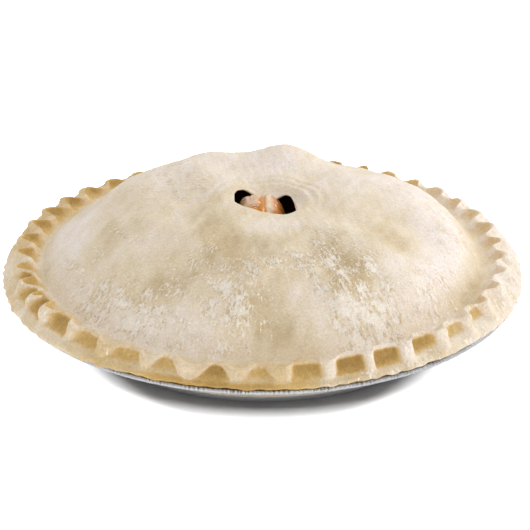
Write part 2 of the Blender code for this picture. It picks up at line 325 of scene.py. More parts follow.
    # painted shade: the hollow below the vent and the underside of its edge turn near black in the syrup
    # colour, partly as a syrup stain
    soaked = add("Attribute", {"attribute_name": "soaked"})
    colour = add("Mix", {7: looks["syrup"]}, {0: soaked.outputs["Fac"], 6: speckled})
    feed(material, shader, "Base Color", colour)
    grainBump = add("Bump", {"Strength": 0.8, "Distance": 0.18 * mm}, {"Height": grain})
    fleckBump = add("Bump", {"Strength": 0.6, "Distance": 0.32 * mm},
                    {"Height": fleck, "Normal": grainBump})
    flakeBump = add("Bump", {"Strength": 1.0, "Distance": 0.25 * mm},
                    {"Height": relief, "Normal": fleckBump})
    feed(material, shader, "Normal", flakeBump)
    return material


# Rolled aluminium foil, pressed into a tin: a bright rim, and a wall that is crumpled so finely all over
# that it scatters the light and looks dull.
def makeFoil():
    looks = {
        "rim": "B8B8BB",
        "wall": "CACACC",
        "crumpled": (22 * mm, 20 * mm),  # the heights between which the rim passes into the wall
        "crinkleSize": 3.5 * mm,
        "scratchSize": 0.6 * mm,
    }
    material, shader, add = newMaterial("pressedAluminiumFoil")
    place = add("TexCoord").outputs["Object"]
    crinkle = add("TexNoise",
                  {"Scale": 1 / looks["crinkleSize"], "Detail": 3, "Distortion": 0.8}, {"Vector": place})
    scratch = add("TexNoise", {"Scale": 1 / looks["scratchSize"], "Detail": 2}, {"Vector": place})
    rough = add("MapRange",
                {"From Min": 0.3, "From Max": 0.7, "To Min": 0.24, "To Max": 0.42}, {"Value": scratch})
    height = add("SeparateXYZ", None, {"Vector": place})
    upper, lower = looks["crumpled"]
    crumple = add("MapRange", {"From Min": upper, "From Max": lower}, {"Value": height.outputs["Z"]})
    dull = add("Math", {"operation": "MULTIPLY_ADD", 1: 0.26}, {0: crumple, 2: rough})
    mirror = add("Math", {"operation": "MULTIPLY_ADD", 1: -0.7, 2: 1.0}, {0: crumple})
    colour = add("Mix", {6: looks["rim"], 7: looks["wall"]}, {0: crumple})
    feed(material, shader, "Base Color", colour)
    feed(material, shader, "Roughness", dull)
    feed(material, shader, "Metallic", mirror)
    bump = add("Bump", {"Strength": 0.5, "Distance": 0.3 * mm}, {"Height": crinkle})
    feed(material, shader, "Normal", bump)
    return material


# Ripe peach, cut: moist orange flesh, stained towards the skin's side, with sugar frosting and a painted
# highlight as a pale band.
def makePeach():
    looks = {
        "flesh": "E39C46",
        "pale": "FBE8CC",
        "stain": "B96424",
        "patchSize": 4 * mm,
        "fibreSize": 0.9 * mm,
    }
    material, shader, add = newMaterial("cutPeach", {
        "Roughness": 0.45,
        "IOR": 1.38,
        "Subsurface Weight": 0.25,
        "Subsurface Radius": (1.0, 0.6, 0.3),
        "Subsurface Scale": 2 * mm,
        "Coat Weight": 0.12,
        "Coat Roughness": 0.25,
    })
    place = add("TexCoord").outputs["Object"]
    patch = add("TexNoise", {"Scale": 1 / looks["patchSize"], "Detail": 3}, {"Vector": place})
    fibre = add("TexNoise", {"Scale": 1 / looks["fibreSize"], "Detail": 3, "Distortion": 0.5},
                {"Vector": place})
    tint = add("MapRange", {"From Min": 0.35, "From Max": 0.65}, {"Value": patch})
    flesh = add("Mix", {6: looks["flesh"], 7: looks["stain"]}, {0: tint})
    # the frosted share: sugar on the left slice, and a painted highlight down the right one
    frosted = add("Attribute", {"attribute_name": "frosted"})
    colour = add("Mix", {7: looks["pale"]}, {0: frosted.outputs["Fac"], 6: flesh})
    feed(material, shader, "Base Color", colour)
    bump = add("Bump", {"Strength": 0.5, "Distance": 0.3 * mm}, {"Height": fibre})
    feed(material, shader, "Normal", bump)
    return material


# Peach juice thickened with sugar and starch: a dark wet syrup, smooth enough to glint. Its darkness is
# partly the syrup and partly painted shade in the hollow below the vent.
def makeSyrupAndShade():
    looks = {"deepShade": "4A1C0C", "thin": "8A4518", "swirlSize": 5 * mm}
    material, shader, add = newMaterial("peachSyrupAndShade", {"Roughness": 0.12, "IOR": 1.4, "Coat Weight": 0.5})
    place = add("TexCoord").outputs["Object"]
    swirl = add("TexNoise", {"Scale": 1 / looks["swirlSize"], "Detail": 3, "Distortion": 1.0},
                {"Vector": place})
    tint = add("MapRange", {"From Min": 0.4, "From Max": 0.7}, {"Value": swirl})
    colour = add("Mix", {6: looks["deepShade"], 7: looks["thin"]}, {0: tint})
    feed(material, shader, "Base Color", colour)
    bump = add("Bump", {"Strength": 0.4, "Distance": 0.5 * mm}, {"Height": swirl})
    feed(material, shader, "Normal", bump)
    return material


# Clear peach juice in a thin layer on the flesh: amber and wet.
def makeJuice():
    material, _, _ = newMaterial("clearPeachJuice", {
        "Base Color": hexColour("D58A2C"),
        "Roughness": 0.2,
        "IOR": 1.36,
        "Subsurface Weight": 0.3,
        "Subsurface Radius": (1.0, 0.6, 0.2),
        "Subsurface Scale": 1.5 * mm,
    })
    return material


# Wheat flour in dry crumbs: the palest and most matt thing on the pie.
def makeFlour():
    looks = {"flour": "F6EAD8", "dusty": "E6D2B0", "crumbSize": 2 * mm}
    material, shader, add = newMaterial("wheatFlour", {"Roughness": 0.95, "Specular IOR Level": 0.1})
    place = add("TexCoord").outputs["Object"]
    crumb = add("TexNoise", {"Scale": 1 / looks["crumbSize"], "Detail": 2}, {"Vector": place})
    colour = add("Mix", {6: looks["flour"], 7: looks["dusty"]}, {0: crumb})
    feed(material, shader, "Base Color", colour)
    return material


# Granulated sugar: clear crystals that look pinkish white where they lie on the wet fruit.
def makeSugar():
    looks = {"clear": "FFF0E4", "juicy": "F8C8A4", "grainSize": 1.6 * mm}
    material, shader, add = newMaterial("sugarCrystals", {
        "Roughness": 0.35,
        "IOR": 1.54,
        "Subsurface Weight": 0.4,
        "Subsurface Scale": 0.6 * mm,
    })
    place = add("TexCoord").outputs["Object"]
    wet = add("TexNoise", {"Scale": 1 / looks["grainSize"], "Detail": 1}, {"Vector": place})
    colour = add("Mix", {6: looks["clear"], 7: looks["juicy"]}, {0: wet})
    feed(material, shader, "Base Color", colour)
    return material


# The lid of dough, as heights over the plan.
lid = {
    "footRadius": 103.7 * mm,
    "valleyHeight": 29.0 * mm,
    "rise": 28.3 * mm,
    "fullness": 3.66,
    "tilt": (0.030, -0.028),
    "lumpFade": 12 * mm,
    # fruit that lifts the lid and hollows between it: x, y, length, width in mm, turn in degrees, rise
    # in mm
    "lumps": (
        (11.7, 56.5, 11.5, 11.5, 0, 9.3), (-29.1, 55.0, 18.2, 18.2, 0, 7.7),
        (-62.0, 41.6, 13.8, 13.8, 0, 5.3), (66.0, 34.5, 19.0, 19.0, 0, 3.0),
        (43.0, 15.0, 14.0, 12.0, 0, 2.0), (-18.0, 6.0, 11.0, 12.0, 0, 1.2),
        (22.0, -6.0, 10.0, 10.0, 0, -1.2), (0.0, -25.0, 10.0, 8.0, 0, 1.0),
        (-11.5, -42.5, 10.0, 9.0, 0, -1.8), (-26.5, -25.0, 24.0, 9.0, 76, 1.7),
        (-39.0, -64.0, 12.0, 10.0, 30, -2.4), (51.0, -51.0, 18.0, 9.5, 127, 2.8),
        (31.0, -57.0, 12.0, 8.0, 127, -1.4), (60.0, -23.0, 14.0, 12.0, 0, -1.3),
        (6.5, -92.0, 11.0, 8.0, 90, -3.4), (-14.0, -83.0, 12.0, 10.0, 0, 1.7),
        (27.0, -77.0, 11.0, 9.0, 0, 1.7), (-72.0, -14.0, 28.0, 8.0, 80, -1.3),
        (86.0, -9.0, 16.0, 8.0, 90, 1.4),
    ),
    # finer unevenness of hand rolled dough: how high the swells are and how long, in mm, and their seed
    "swells": ((0.45, 34, 3), (0.22, 15, 5), (0.09, 6.5, 8), (0.04, 3.2, 9)),
}

vent = {
    "x": 1.6 * mm,
    "y": 1.8 * mm,
    "radius": 15.0 * mm,
    "pressRadius": 20.0 * mm,
    "pressDepth": 2.2 * mm,
    "pressSide": math.radians(55),
    # ring marks of the cutter: radius, rise, width in mm
    "ringMarks": (
        (20.4, 0.40, 1.0), (22.4, -0.40, 1.0), (24.6, 0.42, 1.0), (26.8, -0.30, 1.1), (29.4, 0.28, 1.2),
    ),
    # they are clearest on one side: its direction, how clear they are at right angles to it, and how
    # much that changes
    "ringSide": (math.radians(80), 0.35, 0.75),
    # the edge is thin where it lifts off the fruit at the back: angle, half width, share of the thickness
    "thinEdges": ((math.radians(136), math.radians(34), 0.35), (math.radians(48), math.radians(26), 0.35)),
    "pocketShift": 4.0 * mm,
    # the hole's edge as the dough has settled: angle in degrees and radius in mm all the way round
    "edge": (
        (-180, 15.6), (-165, 15.6), (-142, 14.3), (-117, 12.2), (-92, 12.0), (-77, 13.2), (-60, 16.0),
        (-48, 18.0), (-35, 17.5), (-17, 15.2), (8, 14.4), (30, 15.8), (47, 17.2), (60, 16.8), (72, 13.2),
        (88, 11.4), (102, 12.4), (113, 16.0), (126, 18.6), (146, 18.4), (165, 16.2), (180, 15.6),
    ),
    "edgeSteps": 720,
    "edgeBlur": 12,
    # the tongue of dough that sags into the hole at the back: angle, half width, drop
    "sag": (math.radians(88), math.radians(20), 1.7 * mm),
    "sagReach": 6.0 * mm,
}


def ventRelief(x, y):
    away = np.hypot(x - vent["x"], y - vent["y"])
    angle = np.arctan2(y - vent["y"], x - vent["x"])
    pressed = vent["pressDepth"] * 0.5 * (1 + np.cos(angle - vent["pressSide"]))
    height = -pressed * ease((vent["pressRadius"] - away) / (vent["pressRadius"] - vent["radius"]))
    side, least, more = vent["ringSide"]
    shown = ease(least + more * np.cos(angle - side))
    for radius, rise, width in vent["ringMarks"]:
        height += shown * rise * mm * np.exp(-(((away - radius * mm) / (width * mm)) ** 2))
    return height


def lidHeight(x, y):
    radius = np.hypot(x, y)
    lumps = lid["tilt"][0] * x + lid["tilt"][1] * y
    lumps += mm * (spread(x, y, lid["lumps"]) + swells(x, y, lid["swells"]))
    lumps *= ease((lid["footRadius"] - radius) / lid["lumpFade"])
    dome = lid["rise"] * (1 - np.minimum(radius / lid["footRadius"], 1) ** lid["fullness"])
    return lid["valleyHeight"] + dome + lumps + ventRelief(x, y)


def ventShape(angle):
    # the hole's half width as a share of its radius
    places, widths = np.array(vent["edge"]).T
    even = np.linspace(-180, 180, vent["edgeSteps"] + 1)
    outline = np.interp(even, places, widths)[:-1]
    smoothed = np.zeros_like(outline)
    blur = vent["edgeBlur"]
    for shift in range(-blur, blur + 1):
        smoothed += np.roll(outline, shift) / (2 * blur + 1)
    around = (np.degrees(angle) + 180) % 360 - 180
    return np.interp(around, even, np.append(smoothed, smoothed[0])) * mm / vent["radius"]


def ventSag(angle, away):
    # how far the dough hangs down at a distance from the hole's edge
    middle, half, drop = vent["sag"]
    return drop * nearAngle(angle, middle, half) * (1 - ease(away / vent["sagReach"])) ** 2


# The folds pinched round the edge. A place along the dough's section is the number of its point below,
# from 0 at the lid to 11 at the tin. What changes round the pie is given as roundPie takes it.
fold = {
    "count": 42,
    "first": math.radians(268.9),
    "widest": math.radians(274.5),
    "widening": 0.122,
    # the folds are looser inside the crest than outside it: the places between which that changes, how
    # steep their sides are, and how much wider the pockets are than the ribs
    "outer": (3.2, 5.2),
    "steepness": (1.5, 3.4),
    "bias": (0.1, 0.66),
    # a peaked pocket is narrow at its top and wide at its foot
    "peakedBias": (-1.05, 0.65),
    "peakedPlaces": (3.4, 7.8),
    # folds on the front that are pinched to a peak: number, how far to a triangle, how deep
    "peaked": {
        36: (0.3, 1.0), 38: (0.3, 0.85), 39: (0.55, 0.8), 40: (0.9, 0.8),
        41: (1.0, 0.95), 0: (0.9, 0.75), 1: (0.15, 0.85), 3: (0.1, 1.05),
    },
    "peakedRibDrop": 1.3 * mm,
    # what is drawn for every other fold: reach, lift, lean, how far to a peak, depth
    "drawn": ((0.86, 1.14), (-1, 1), (-0.10, 0.10), (0, 0.3), (0.85, 1.05)),
    "seed": 42,
    # the folds on the left front sit a little further round: angle, half width, share of a fold
    "slip": (math.radians(221), math.radians(19), 0.30),
    # folds at the sides that are hardly pressed in on the outside, and the share of their depth
    "shallow": (*range(26, 34), *range(7, 16)),
    "shallowness": 0.6,
    "lift": 0.6 * mm,
    "frontRise": 2.1 * mm,
    # the wall leans out and is lower on the left front: from, to and blur in degrees, drop, lean
    "slumpAngles": (228, 286, 18),
    "slump": (2.7 * mm, 0.3 * mm),
    # where the folds lean sideways, and where they reach in and out: the places, and their blur
    "leaning": (2.5, 7.5, 2.5),
    "reaching": (2, 6, 2),
    # on the left they zigzag more widely
    "leftReach": (0, (0.5, None, (-0.6, -0.9))),
    # the lowest edge hangs over the foil at the sides and on the left front: how far in mm, how much
    # further down than out, and from which place
    "hang": (0, (0.9, None, (0.72, 0.94)), (1.08, None, (-0.45, -0.70))),
    "hangDrop": 1.3,
    "hangPlaces": (7.5, 9.5),
    # it is nowhere quite even: shares, lengths in radians and seeds, and how far out and down in mm
    "uneven": ((0.5, 0.16, 71), (0.4, 0.055, 72)),
    "unevenReach": (0.3, 0.25),
    # the pinched surface is rough: rise, length and the width of a step along the section in mm, seed
    "rough": (0.22, 4.2, 1.6, 73),
    "roughRadius": 118 * mm,
    # how far along the folds the lid's smooth floured surface goes on
    "lidPlaces": (0, 2),
    # what raises the crest leaves the places at the lid and the heights at the sill alone
    "raisedPlaces": (0, 1.5),
    "sillHeight": 26.8 * mm,
    "crestHeight": 33.0 * mm,
    "ringCount": 38,
    # the dough's section, radius and height in mm, where it is pressed in and where it stands as a rib
    "pressed": (
        (103.7, 29.0), (106.2, 28.8), (108.2, 30.6), (109.6, 32.3), (110.9, 32.5), (112.3, 31.0),
        (114.3, 29.2), (116.7, 27.9), (119.0, 27.1), (120.9, 26.3), (121.9, 25.0), (121.2, 24.15),
    ),
    "rib": (
        (103.7, 29.0), (108.2, 28.8), (112.0, 29.8), (114.2, 32.6), (115.9, 33.5), (117.5, 32.4),
        (119.0, 30.2), (120.2, 28.3), (121.0, 27.1), (121.6, 26.2), (121.9, 25.0), (121.2, 24.15),
    ),
}


def foldSections():
    pressed, places = smoothLine(fold["pressed"], fold["ringCount"])
    rib, _ = smoothLine(fold["rib"], fold["ringCount"])
    return pressed * mm, rib * mm, places


def foldTurns(angle):
    swing = np.sin(angle - fold["widest"]) - math.sin(fold["first"] - fold["widest"])
    middle, half, share = fold["slip"]
    slip = share * nearAngle(angle, middle, half, 4)
    return fold["count"] * (angle - fold["first"] - fold["widening"] * swing) / fullTurn + slip


def foldTraits(turns):
    # each fold is pinched a little differently, and one blends into the next
    chance = random.Random(fold["seed"])
    traits = []
    for number in range(fold["count"]):
        reach, lift, lean, *others = (chance.uniform(*span) for span in fold["drawn"])
        peak, depth = fold["peaked"].get(number, others)
        if number in fold["shallow"]:
            depth *= fold["shallowness"]
        traits.append((reach, lift, lean, peak, depth))
    traits = np.array(traits)
    before = np.floor(turns).astype(int)
    blend = ease(2 * (turns - before) - 0.5)[:, None]
    mixed = traits[before % fold["count"]] * (1 - blend) + traits[(before + 1) % fold["count"]] * blend
    return mixed.T


# The crust: lid, pinched edge and the dough that lines the tin, in one piece.
crustBuild = {
    "steps": 588,
    # how far out from the vent the lid's rings are still drawn to its outline
    "ventReach": 55 * mm,
    "ringGrowth": 1.35,
    "lidRings": 84,
    # the lid's cut edge in the vent: how far in and how far down from its top, in mm
    "lip": ((-2.5, 3.4), (-0.6, 3.2), (0.35, 2.7), (0.75, 1.9), (0.75, 1.1), (0.45, 0.35)),
    # the hollow below the lid: radius and height in mm, from its floor out to its wall
    "hollow": ((0, 34), (8, 34), (16, 34), (21.5, 34), (21.5, 40), (21.5, 46), (21.5, 51.5), (20.3, 53.6)),
    # the dough inside the tin: radius and height in mm, from the rim to the middle of the base
    "lining": (
        (112.0, 24.4), (104.0, 15.5), (96.0, 7.2), (89.6, 1.8),
        (88.0, 0.8), (60.0, 0.8), (30.0, 0.8), (0, 0.8),
    ),
    # how far each ring of the cut edge is darkened with the syrup colour, as a syrup stain and painted shade
    "soakedAndShadedLip": (1.0, 0.9, 0.5, 0.15, 0.0, 0.0),
}


def crustOutline():
    # every ring of the blank, with the zone it belongs to and where it is in that zone
    rings = [("hollow", number, radius * mm, height * mm)
             for number, (radius, height) in enumerate(crustBuild["hollow"])]
    blankTop = lid["valleyHeight"] + lid["rise"]
    for number, (inward, drop) in enumerate(crustBuild["lip"]):
        rings.append(("lip", number, vent["radius"] - inward * mm, blankTop - drop * mm))
    for number in range(crustBuild["lidRings"]):
        share = (number / crustBuild["lidRings"]) ** crustBuild["ringGrowth"]
        radius = vent["radius"] + (lid["footRadius"] - vent["radius"]) * share
        rings.append(("lid", share, radius, blankTop))
    pressed, rib, _ = foldSections()
    for number, (radius, height) in enumerate(0.5 * (pressed + rib)):
        rings.append(("edge", number, radius, height))
    for number, (radius, height) in enumerate(crustBuild["lining"]):
        rings.append(("lining", number, radius * mm, height * mm))
    return rings


def shapeLid(points, angle, baseRadius):
    # the rings go from the vent's outline to the circle at the foot of the lid
    drawnIn = 1 - ease((baseRadius - vent["radius"]) / crustBuild["ventReach"])
    radius = baseRadius * (1 + (ventShape(angle) - 1) * drawnIn)
    points[:, 0] = vent["x"] * drawnIn + radius * np.cos(angle)
    points[:, 1] = vent["y"] * drawnIn + radius * np.sin(angle)
    points[:, 2] = lidHeight(points[:, 0], points[:, 1]) - ventSag(angle, baseRadius - vent["radius"])


def shapeLip(points, angle, number):
    inward, drop = (np.array(crustBuild["lip"])[number] * mm).T
    radius = vent["radius"] * ventShape(angle)
    edgeX, edgeY = vent["x"] + radius * np.cos(angle), vent["y"] + radius * np.sin(angle)
    thinness = np.ones_like(angle)
    for middle, half, share in vent["thinEdges"]:
        thinness -= (1 - share) * nearAngle(angle, middle, half)
    points[:, 2] = lidHeight(edgeX, edgeY) - drop * thinness - ventSag(angle, 0)
    points[:, 0] = edgeX - inward * np.cos(angle)
    points[:, 1] = edgeY - inward * np.sin(angle)


def shapeEdge(points, angle, number):
    pressed, rib, places = (line[number] for line in foldSections())
    turns = foldTurns(angle)
    reach, lift, lean, peak, depth = foldTraits(turns)
    leaning = window(places, *fold["leaning"])
    outer = fade(places, *fold["outer"])
    steepness = np.interp(outer, (0, 1), fold["steepness"])
    ordinary = np.interp(outer, (0, 1), fold["bias"])
    peaked = outer * np.interp(fade(places, *fold["peakedPlaces"]), (0, 1), fold["peakedBias"])
    push = -np.cos(fullTurn * (turns + lean * leaning)) - ordinary * (1 - peak) - peak * peaked
    wave = np.tanh(steepness * push)
    wave = np.where(wave < 0, wave * (1 - (1 - depth) * outer), wave)
    reach = reach * (1 + roundPie(angle, *fold["leftReach"]) * window(places, *fold["reaching"]))
    middle, half = 0.5 * (pressed + rib), 0.5 * (rib - pressed)
    radius = middle[:, 0] + half[:, 0] * wave * reach
    height = middle[:, 1] + half[:, 1] * wave
    raised = np.clip((height - fold["sillHeight"]) / (fold["crestHeight"] - fold["sillHeight"]), 0, 1)
    raised *= fade(places, *fold["raisedPlaces"])
    height -= peak * fold["peakedRibDrop"] * np.clip(wave, 0, 1) * leaning
    slumped = window(np.degrees(angle), *fold["slumpAngles"])
    slumpDrop, slumpLean = fold["slump"]
    height += raised * (fold["lift"] * lift - fold["frontRise"] * np.sin(angle) - slumpDrop * slumped)
    radius += raised * slumpLean * slumped
    low = fade(places, *fold["hangPlaces"]) * mm
    hang = roundPie(angle, *fold["hang"])
    uneven = sum(share * ripples(angle, 0 * angle, length, seed) for share, length, seed in fold["uneven"])
    unevenOut, unevenDown = fold["unevenReach"]
    rise, length, step, seed = fold["rough"]
    rough = rise * mm * ripples(angle * fold["roughRadius"], places * step * mm, length * mm, seed)
    radius += low * (hang + unevenOut * uneven) + rough * fade(places, *fold["lidPlaces"])
    height -= low * (fold["hangDrop"] * hang + unevenDown * uneven)
    points[:, 0], points[:, 1], points[:, 2] = radius * np.cos(angle), radius * np.sin(angle), height
    return goldAndShadeOfFolds(angle, places, push, depth)


leftFront = ((-0.15, -0.35), (-0.2, -0.5))

# Where the dough was pinched or pressed its butter shows: gold in the pockets and at the foot, and a warm
# tone elsewhere. Part of it is painted shade: the deeper pockets, the hollows inside the crest, the valley
# by the lid and the foot are made darker and more golden where shade falls. Places along the section are
# as in fold, and what changes round the pie as in roundPie.
goldAndShade = {
    "round": {
        "front": (0, (1, (-0.72, -0.92), None)),
        "leftFront": (0, (1, *leftFront)),
        "pocketShift": (0.06, (-0.14, *leftFront)),
        "pocket": (1.05, (-0.06, *leftFront), (-0.231, None, (0.5, 0.7))),
        "paleFoot": (0, (0.7, *leftFront), (0.7, None, (0.12, 0.27))),
        "hollow": (
            0.72, (-0.12, None, (0.3, 0.7)), (0.10, None, (-0.55, -0.85)), (-0.20, None, (0.6, 0.85)),
        ),
        "hollowSides": (0, (1, (-0.72, -0.42), None)),
        "foot": (
            0.84, (-0.756, None, (-0.02, 0.26)), (-0.546, None, (-0.3, -0.55)),
            (-0.2352, None, (-0.72, -0.94)), (-0.0672, None, (0.72, 0.94)),
        ),
        "warmth": (0.31, (0.08, (-0.5, -1.0), None)),
        "warmSides": (0, (1, None, (0.5, 0.1))),
        "paleRibs": (
            0, (0.35, *leftFront), (-0.35, (-0.68, -0.83), (-0.2, -0.5)), (0.595, None, (0.05, 0.2)),
        ),
        "leftBack": (0, (0.10, (0.1, 0.3), (-0.3, -0.6))),
        "rightFront": (0, (0.17, (-0.25, -0.45), (0.5, 0.7))),
    },
    # the places along the section between which each comes in
    "along": {
        "pocket": (4.3, 5.2),
        "pocketFoot": (5.2, 8.2),
        "awayFoot": (6.2, 7.6),
        "paleFoot": (7.2, 8.4),
        "hollow": (-0.6, 1.0),
        "hollowTop": (4.0, 3.4),
        "pastLid": (0, 2.8),
        "foot": (7.0, 9.2),
        "warmth": (-1.5, 1.5),
        "paleRibs": (2.5, 4.0),
        "rightFront": (2.0, 3.5),
    },
    # outside the crest: how sharply a pocket ends at its ribs, and how its depth counts, deeper pockets
    # getting more painted shade
    "pocketEdge": 3.6,
    "depthPower": 1.8,
    # how much the pockets pale towards the foot, and how much less on the front
    "paling": (0.5, 0.22),
    # how strong they are away from the front and on it
    "strength": (0.88, 1.0),
    # inside the crest: how sharply a hollow ends at its ribs, where between them, and its share at the lid
    "hollowEdge": 2.2,
    "hollowShift": 0.60,
    "lidShare": 0.55,
}


def goldAndShadeOfFolds(angle, place, push, depth):
    # how golden each point of the folds is, from the butter and from painted shade: push is high on a rib
    # and low in a pocket
    by = {name: roundPie(angle, *value) for name, value in goldAndShade["round"].items()}
    at = {name: fade(place, *value) for name, value in goldAndShade["along"].items()}
    front = np.maximum(by["front"], by["leftFront"])
    rib = 0.5 + 0.5 * np.tanh(goldAndShade["pocketEdge"] * (push + by["pocketShift"]))
    paling, lessOnFront = goldAndShade["paling"]
    pocket = by["pocket"] * at["pocket"] * (1 - rib) * depth ** goldAndShade["depthPower"]
    pocket *= np.interp(front, (0, 1), goldAndShade["strength"]) * (1 - (1 - front) * at["awayFoot"])
    pocket *= (1 - (paling - lessOnFront * front) * at["pocketFoot"]) * (1 - by["paleFoot"] * at["paleFoot"])
    hollow = 0.5 + 0.5 * np.tanh(goldAndShade["hollowEdge"] * (push + goldAndShade["hollowShift"]))
    hollow *= by["hollow"] * by["hollowSides"] * at["hollow"] * at["hollowTop"]
    hollow *= np.interp(at["pastLid"], (0, 1), (goldAndShade["lidShare"], 1))
    foot = by["foot"] * at["foot"]
    warmth = by["warmth"] * by["warmSides"] * at["warmth"] * (1 - by["paleRibs"] * at["paleRibs"] * rib)
    warmth += by["leftBack"] + by["rightFront"] * at["rightFront"]
    return np.maximum.reduce([pocket, hollow, foot, warmth])


# How white the dough is: a half is plain dough, more is a film of flour and less is bare. Part of it is
# painted light and shade: bare patches in the hollows and the valley at the lid's foot are painted shade,
# and more film on the right side is painted light.
dustFilmAndShading = {
    "plain": 0.50,
    # clouds all over: how much, length in mm, seed
    "clouds": ((0.05, 22, 61), (0.05, 9, 62)),
    # the film on the folds, its clouds, and where they are bare at their foot, as roundPie takes it; the
    # film is more on the right side as painted light
    "edge": (
        0.56, (0.14, None, (-0.1, 0.4)), (0.12, None, (0.6, 0.8)), (-0.22, (-0.25, -0.45), (0.6, 0.75)),
    ),
    "edgeClouds": ((0.06, 12, 63),),
    "bareFoot": (0.42, (-0.42, None, (0.5, 0.8)), (-0.42, None, (-0.5, -0.8))),
    "footPlaces": (7, 9),
    # patches on the lid: x, y, length, width in mm, turn in degrees, how much; the negative ones darken
    # hollows and the valley at the lid's foot as painted shade, and the film on the right is partly painted
    # light
    "patches": (
        (-92, 8, 10, 22, 0, 0.62), (-72, -12, 6, 20, 5, -0.30), (-55, -34, 12, 16, 30, 0.14),
        (-44, 36, 26, 14, 160, 0.27), (1, 46, 22, 12, 0, 0.40), (44, 24, 22, 12, 30, 0.28),
        (78, 14, 14, 24, 20, 0.42), (84, -30, 10, 24, -15, 0.65), (62, -55, 14, 12, 45, 0.35),
        (4, -27, 18, 7, 0, 0.30), (20, -80, 9, 8, 0, 0.20), (-50, -82, 26, 7, -25, 0.40),
        (-78, -55, 8, 18, 35, 0.10), (-16, -44, 11, 9, 60, -0.50), (-24, -23, 9, 7, 70, -0.35),
        (40, -62, 6, 9, -30, -0.40), (-101, -12, 4, 44, 0, -0.30), (63, -36, 13, 8, 20, -0.50),
        (44, -42, 10, 9, 0, 0.18), (70, -90, 14, 8, 30, 0.45), (22, -90, 9, 9, 0, 0.15),
        (34, -58, 10, 6, 110, -0.75), (23, -36, 10, 10, 0, -0.18), (48, -72, 9, 8, 110, -0.15),
        (84, -54, 12, 6, 40, -0.20), (98, -30, 5, 20, -18, -0.50), (98, 3, 5, 24, 0, -0.30),
        (-46, -66, 14, 7, 10, -0.40), (8, -94, 9, 6, 0, -0.45), (-3, -81, 8, 7, 0, -0.35),
        (-2, -58, 10, 6, 0, -0.20),
    ),
}

# How much loose flour lies where: patches on the raised places, and a thin dusting all over.
flourCover = {
    "thin": 0.08,
    # it is uneven: its mean share, and its clouds as in dustFilmAndShading
    "mean": 0.95,
    "clouds": ((0.18, 9, 21),),
    # on the folds, from which place on, and how soon it ends where they are gold
    "onFolds": 0.45,
    "foldPlaces": (1, 3),
    "wetting": 1.6,
    # patches on the lid, as in dustFilmAndShading
    "patches": (
        (-13, -84, 13, 9, 100, 0.75), (27, -38, 10, 6, 110, 0.50), (50, -57, 9, 2.6, 115, 0.9),
        (36, -75, 11, 8, 110, 1.0), (43, -87, 8, 7, 90, 1.0), (-58, -76, 22, 8, 140, 0.8),
        (52, -82, 10, 6, 50, 0.6), (12, -58, 22, 7, 10, 0.55), (-33, -55, 16, 7, 60, 0.35),
        (-62, -20, 20, 9, 80, 0.35), (-45, 30, 18, 12, 120, 0.25), (63, 22, 12, 7, 120, 0.35),
        (75, -60, 16, 9, 50, 0.45), (88, -5, 22, 9, 90, 0.4), (-85, -35, 20, 7, 110, 0.35),
        (-30, 12, 18, 12, 100, 0.22), (-22, 84, 15, 8, 10, 0.6), (46, 76, 12, 8, 140, 0.55),
    ),
}


def dustAndShadingShare(x, y):
    return dustFilmAndShading["plain"] + spread(x, y, dustFilmAndShading["patches"]) + swells(x, y, dustFilmAndShading["clouds"])


def flourShare(x, y):
    uneven = flourCover["mean"] + swells(x, y, flourCover["clouds"])
    return (flourCover["thin"] + spread(x, y, flourCover["patches"])) * uneven


